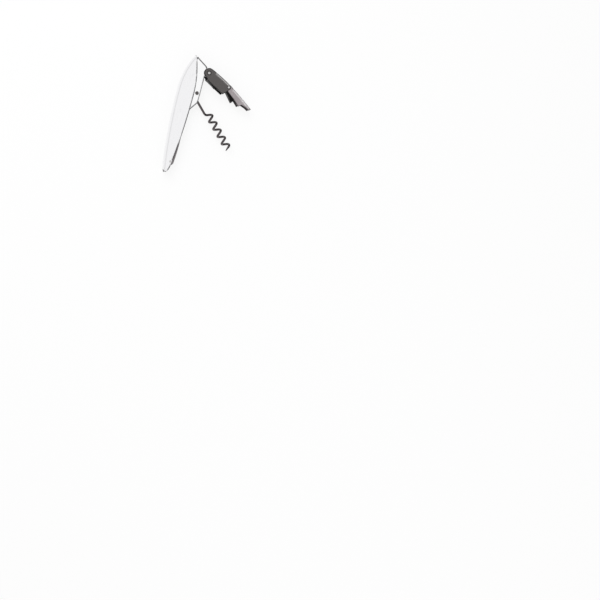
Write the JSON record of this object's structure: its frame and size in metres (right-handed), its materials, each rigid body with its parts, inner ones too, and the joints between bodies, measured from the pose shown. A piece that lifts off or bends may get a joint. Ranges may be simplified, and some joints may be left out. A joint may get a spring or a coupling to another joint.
{
  "type": "wine opener",
  "caption": "Folding two-step lever corkscrew with a polished leaf-shaped handle, a wire worm, a hinged double lever and a folding foil cutter.",
  "frame": {"origin": "on the flat side of the handle that it rests on, under the widest part of the handle", "axes": "+X along the handle from the lever end to the tail, +Y out of the handle's open side, +Z along the hinge pins, up from the side it rests on"},
  "size_m": [0.1347, 0.085, 0.0159],
  "materials": {
    "polished_steel": "mirror-polished sheet steel",
    "worm_steel": "dark drawn wire",
    "dark_lever": "dark grey satin coat",
    "black_steel": "black satin coat",
    "grey_lever": "mid grey satin steel",
    "blade_steel": "ground blade steel",
    "rivet_steel": "turned steel"
  },
  "bodies": {
    "handle": {"handle_shell": "polished_steel", "inner_frame": "polished_steel", "frame_rivets": "polished_steel", "worm_pin": "rivet_steel", "worm_spacer_near": "rivet_steel", "worm_spacer_far": "rivet_steel", "lever_pin": "dark_lever", "lever_washer_near": "rivet_steel", "lever_washer_far": "rivet_steel", "cutter_pin": "rivet_steel", "cutter_washer": "rivet_steel", "cutter_spacer": "rivet_steel"},
    "worm": {"worm": "worm_steel"},
    "first_lever": {"first_lever": "dark_lever", "step_hook": "black_steel", "link_pin": "rivet_steel"},
    "second_lever": {"second_lever": "grey_lever", "link_spacer": "rivet_steel"},
    "foil_cutter": {"foil_cutter": "blade_steel"}
  },
  "joints": [
    {"name": "lever_swing", "type": "hinge", "parent": "handle", "child": "first_lever", "pos_m": [-0.0294, 0.0188, 0.00795], "axis": [0, 0, 1], "range_deg": [-62, 62.5]},
    {"name": "worm_swing", "type": "hinge", "parent": "handle", "child": "worm", "pos_m": [-0.0043, 0.0116, 0.00795], "axis": [0, 0, 1], "range_deg": [-45.7, 46.1]},
    {"name": "link_fold", "type": "hinge", "parent": "first_lever", "child": "second_lever", "pos_m": [-0.02021, 0.04419, 0.00795], "axis": [0, 0, 1], "range_deg": [0, 95]},
    {"name": "cutter_swing", "type": "hinge", "parent": "handle", "child": "foil_cutter", "pos_m": [0.077, 0.0024, 0.00795], "axis": [0, 0, -1], "range_deg": [0, 165]}
  ],
  "couplings": [
    {"joint": "worm_swing", "follows": "lever_swing", "ratio": 0.737}
  ]
}
